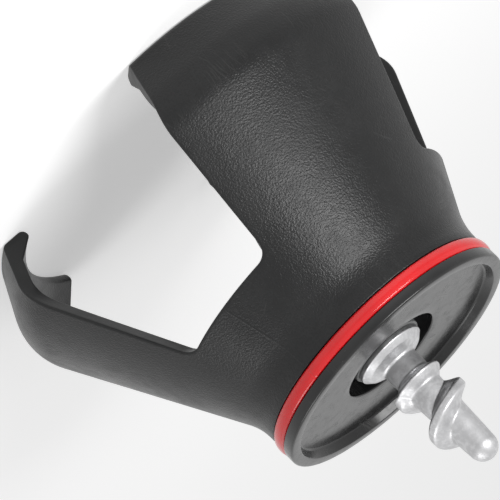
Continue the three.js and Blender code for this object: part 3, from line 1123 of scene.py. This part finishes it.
def clawRubber():
    f = rubberFinish
    material, tree, shader, place = startMaterial("clawRubber")
    grain = useGroup(tree, mouldedGrain, place, f["grain"])
    drift = useGroup(tree, toneDrift, place, f["drift"])
    dust = useGroup(tree, dustSpecks, place, f["dust"])
    scratches = useGroup(tree, fineScratches, place, f["scratches"])
    worn = useGroup(tree, edgeWear, place, f["wear"])
    depth = addNode(tree, "Attribute", attribute_name="grain").outputs["Fac"]
    blotches = doMath(tree, "MULTIPLY", drift["Blotch"], f["blotchShare"])
    tone = multiplyAdd(tree, drift["Drift"], f["driftShare"], blotches)
    base = mixColour(tree, tone, f["dark"], f["light"])
    # painted shade: the grain's valleys are darkened towards the dark tone, as far as the grain attribute
    # allows
    shaded = mixColour(tree, doMath(tree, "MULTIPLY", grain["ValleyShade"], depth), base, f["dark"])
    scraped = doMath(tree, "MULTIPLY", scratches["Mask"], f["scratchShare"])
    dusted = mixColour(tree, doMath(tree, "MAXIMUM", dust["Mask"], scraped), shaded, f["dusty"])
    tree.links.new(dusted, shader.inputs["Base Color"])
    polished = doMath(tree, "MULTIPLY", worn["Mask"], f["wearShare"])
    roughnessFrom(tree, shader, doMath(tree, "SUBTRACT", tone, polished, True), f, f["fullTone"])
    shader.inputs["Specular IOR Level"].default_value = f["specular"]
    bumpFrom(tree, shader, doMath(tree, "MULTIPLY", grain["Height"], depth), f["grainDepth"])
    return material


capFinish = {
    "dark": (0.011, 0.0112, 0.0114, 1),
    "light": (0.019, 0.0192, 0.0194, 1),
    "dusty": (0.3, 0.3, 0.29, 1),
    "roughness": (0.19, 0.3),
    "specular": 0.4,
    "waveSize": 1.1,
    "waviness": 0.006 * mm,
    "drift": {"size": 6.0},
    "blotchShare": 0.7,
    "dust": {"cell": 1.5, "speck": 0.05, "share": 0.3},
    "scratches": {"length": 5.0, "width": 0.08, "amount": 0.7},
    "scratchShare": 0.25,
    "wear": {"start": 0.53, "end": 0.62},
    "wearShare": 0.4,
}


def capPlastic():
    f = capFinish
    material, tree, shader, place = startMaterial("capPlastic")
    drift = useGroup(tree, toneDrift, place, f["drift"])
    dust = useGroup(tree, dustSpecks, place, f["dust"])
    scratches = useGroup(tree, fineScratches, place, f["scratches"])
    worn = useGroup(tree, edgeWear, place, f["wear"])
    base = mixColour(tree, drift["Drift"], f["dark"], f["light"])
    scraped = doMath(tree, "MULTIPLY", scratches["Mask"], f["scratchShare"])
    marked = mixColour(tree, doMath(tree, "MAXIMUM", dust["Mask"], scraped), base, f["dusty"])
    tree.links.new(marked, shader.inputs["Base Color"])
    dull = multiplyAdd(tree, drift["Blotch"], f["blotchShare"], scratches["Mask"])
    rubbed = doMath(tree, "MULTIPLY", worn["Mask"], f["wearShare"])
    roughnessFrom(tree, shader, doMath(tree, "ADD", dull, rubbed, True), f)
    shader.inputs["Specular IOR Level"].default_value = f["specular"]
    bumpFrom(tree, shader, noiseAt(tree, place, f["waveSize"]), f["waviness"])
    return material


ringFinish = {
    "deep": (0.7, 0.007, 0.01, 1),
    "bright": (0.84, 0.012, 0.016, 1),
    "roughness": (0.14, 0.26),
    "waveSize": 0.9,
    "waviness": 0.004 * mm,
    "drift": {"size": 5.0},
    "blotchShare": 0.6,
    "scratches": {"length": 4.0, "width": 0.07, "amount": 0.6},
}


def ringPlastic():
    f = ringFinish
    material, tree, shader, place = startMaterial("ringPlastic")
    drift = useGroup(tree, toneDrift, place, f["drift"])
    scratches = useGroup(tree, fineScratches, place, f["scratches"])
    tree.links.new(mixColour(tree, drift["Drift"], f["deep"], f["bright"]), shader.inputs["Base Color"])
    blotches = doMath(tree, "MULTIPLY", drift["Blotch"], f["blotchShare"])
    roughnessFrom(tree, shader, doMath(tree, "ADD", blotches, scratches["Mask"], True), f)
    bumpFrom(tree, shader, noiseAt(tree, place, f["waveSize"]), f["waviness"])
    return material


bushingFinish = {
    "dark": (0.11, 0.113, 0.113, 1),
    "light": (0.17, 0.173, 0.172, 1),
    "roughness": (0.5, 0.65),
    "grain": {"cell": 0.22},
    "grainDepth": 0.015 * mm,
    "drift": {"size": 3.0},
}


def bushingPlastic():
    f = bushingFinish
    material, tree, shader, place = startMaterial("bushingPlastic")
    grain = useGroup(tree, mouldedGrain, place, f["grain"])
    drift = useGroup(tree, toneDrift, place, f["drift"])
    tree.links.new(mixColour(tree, drift["Drift"], f["dark"], f["light"]), shader.inputs["Base Color"])
    roughnessFrom(tree, shader, drift["Blotch"], f)
    bumpFrom(tree, shader, grain["Height"], f["grainDepth"])
    return material


washerFinish = {
    "dark": (0.4, 0.4, 0.41, 1),
    "light": (0.58, 0.58, 0.59, 1),
    "roughness": (0.25, 0.4),
    "lineWidth": 0.16,
    "lineDetail": 3.0,
    "lineRoughness": 0.7,
    "lineDepth": 0.006 * mm,
    "toneShare": 0.6,
    "drift": {"size": 4.0},
    "blotchShare": 0.6,
    "scratches": {"length": 3.0, "width": 0.06, "amount": 0.8},
}


def washerSteel():
    f = washerFinish
    material, tree, shader, place = startMaterial("washerSteel")
    drift = useGroup(tree, toneDrift, place, f["drift"])
    scratches = useGroup(tree, fineScratches, place, f["scratches"])
    split = addNode(tree, "SeparateXYZ", {0: place}).outputs
    flat = addNode(tree, "CombineXYZ", {"X": split["X"], "Y": split["Y"]}).outputs[0]
    reach = addNode(tree, "VectorMath", {0: flat}, operation="LENGTH").outputs["Value"]
    along = addNode(tree, "CombineXYZ", {"X": reach, "Z": split["Z"]}).outputs[0]
    lines = noiseAt(tree, along, f["lineWidth"], f["lineDetail"], f["lineRoughness"])  # turning marks
    tone = doMath(tree, "MULTIPLY", doMath(tree, "ADD", drift["Drift"], lines), f["toneShare"])
    tree.links.new(mixColour(tree, tone, f["dark"], f["light"]), shader.inputs["Base Color"])
    shader.inputs["Metallic"].default_value = 1
    blotches = doMath(tree, "MULTIPLY", drift["Blotch"], f["blotchShare"])
    roughnessFrom(tree, shader, doMath(tree, "ADD", blotches, scratches["Mask"], True), f)
    bumpFrom(tree, shader, lines, f["lineDepth"])
    return material


screwFinish = {
    "dark": (0.48, 0.48, 0.487, 1),
    "light": (0.64, 0.64, 0.65, 1),
    # the colour that concave places turn towards
    "recessTone": (0.16, 0.158, 0.155, 1),
    "roughness": (0.34, 0.48),
    "dentSize": 1.3,
    "dentRoughness": 0.45,
    "dentDepth": 0.05 * mm,
    "pits": {"cell": 0.3},
    "pitShare": 0.12,
    "drift": {"size": 2.6},
    "driftShare": 0.4,
    "blotchShare": 0.6,
    "scratches": {"length": 2.5, "width": 0.06, "amount": 0.8},
    "wear": {"start": 0.52, "end": 0.6},
}


def screwMetal():
    f = screwFinish
    material, tree, shader, place = startMaterial("screwMetal")
    drift = useGroup(tree, toneDrift, place, f["drift"])
    scratches = useGroup(tree, fineScratches, place, f["scratches"])
    worn = useGroup(tree, edgeWear, place, f["wear"])
    pits = useGroup(tree, mouldedGrain, place, f["pits"])
    dents = noiseAt(tree, place, f["dentSize"], roughness=f["dentRoughness"])
    slow = doMath(tree, "MULTIPLY", drift["Drift"], f["driftShare"])
    tone = multiplyAdd(tree, drift["Blotch"], f["blotchShare"], slow)
    cast = mixColour(tree, tone, f["dark"], f["light"])
    rubbed = mixColour(tree, worn["Mask"], cast, f["light"])
    # The colour turns darker where the surface is concave, by the edge wear's recess mask.
    tree.links.new(mixColour(tree, worn["Recess"], rubbed, f["recessTone"]), shader.inputs["Base Color"])
    shader.inputs["Metallic"].default_value = 1
    dull = doMath(tree, "SUBTRACT", 1.0, tone)
    roughnessFrom(tree, shader, doMath(tree, "ADD", dull, scratches["Mask"], True), f)
    bumpFrom(tree, shader, multiplyAdd(tree, pits["Height"], f["pitShare"], dents), f["dentDepth"])
    return material


rubber = clawRubber()
finishes = [
    (capPiece, capPlastic()),
    (ringPiece, ringPlastic()),
    (bushingPiece, bushingPlastic()),
    (washerPiece, washerSteel()),
    (screwPiece, screwMetal()),
]
for piece, finish in finishes + [(piece, rubber) for piece in clawPieces]:
    piece.data.materials.append(finish)
print("materials set:", len(finishes) + 1)


# Stage and light

stage = {
    "floorSize": 6,
    "floorDrop": 0.03 * mm,  # below the finger tips
    "floorColour": (0.86, 0.86, 0.86, 1),
    "floorRoughness": 0.9,
    "floorGlow": 0.42,  # for the eye and for reflections, so that the ground is white
    "white": (1, 1, 1, 1),
    "worldStrength": 0.35,  # of the light that falls on the object
}
keyLamp = {
    "size": (66 * mm, 42 * mm),
    "place": Vector((-8, -101, 73)) * mm,
    "target": Vector((3, -17, -4)) * mm,
    "power": 0.095,
}
fillLamp = {
    "size": (300 * mm, 300 * mm),
    "place": Vector((420, 260, 420)) * mm,
    "target": Vector((0, 0, -8)) * mm,
    "power": 0.9,
}


# 1 for what the eye, a reflection or a clear material sees, 0 for light that falls on the object
def seenShare(tree):
    path = addNode(tree, "LightPath").outputs
    direct = doMath(tree, "MAXIMUM", path["Is Camera Ray"], path["Is Glossy Ray"])
    return doMath(tree, "MAXIMUM", direct, path["Is Transmission Ray"])


def buildFloor():
    s = stage
    half = s["floorSize"] / 2
    level = clawTipEnd - s["floorDrop"]
    corners = [(-half, -half, level), (half, -half, level), (half, half, level), (-half, half, level)]
    mesh = bpy.data.meshes.new("studioFloor")
    mesh.from_pydata(corners, [], [(0, 1, 2, 3)])
    floor = bpy.data.objects.new("studioFloor", mesh)
    bpy.context.scene.collection.objects.link(floor)
    material, tree, shader = startMaterial("studioFloor")[:3]
    shader.inputs["Base Color"].default_value = s["floorColour"]
    shader.inputs["Roughness"].default_value = s["floorRoughness"]
    shader.inputs["Specular IOR Level"].default_value = 0
    shader.inputs["Emission Color"].default_value = s["white"]
    glow = doMath(tree, "MULTIPLY", seenShare(tree), s["floorGlow"])
    tree.links.new(glow, shader.inputs["Emission Strength"])
    mesh.materials.append(material)


def buildWorld():
    world = bpy.data.worlds.new("studioWorld")
    world.use_nodes = True
    tree = world.node_tree
    shares = {"Value": seenShare(tree), "To Min": stage["worldStrength"], "To Max": 1.0}
    strength = addNode(tree, "MapRange", shares).outputs["Result"]
    background = tree.nodes["Background"]
    background.inputs["Color"].default_value = stage["white"]
    tree.links.new(strength, background.inputs["Strength"])
    bpy.context.scene.world = world


def softbox(name, look):
    data = bpy.data.lights.new(name, "AREA")
    data.shape = "RECTANGLE"
    data.size, data.size_y = look["size"]
    data.energy = look["power"]
    lamp = bpy.data.objects.new(name, data)
    bpy.context.scene.collection.objects.link(lamp)
    turn = (look["place"] - look["target"]).to_track_quat("Z", "Y").to_matrix().to_4x4()
    lamp.matrix_world = Matrix.Translation(look["place"]) @ turn
    lamp.visible_camera = False


buildFloor()
buildWorld()
softbox("keyLight", keyLamp)
softbox("fillLight", fillLamp)
bpy.context.scene.view_settings.view_transform = "Standard"
print("stage and lights set")
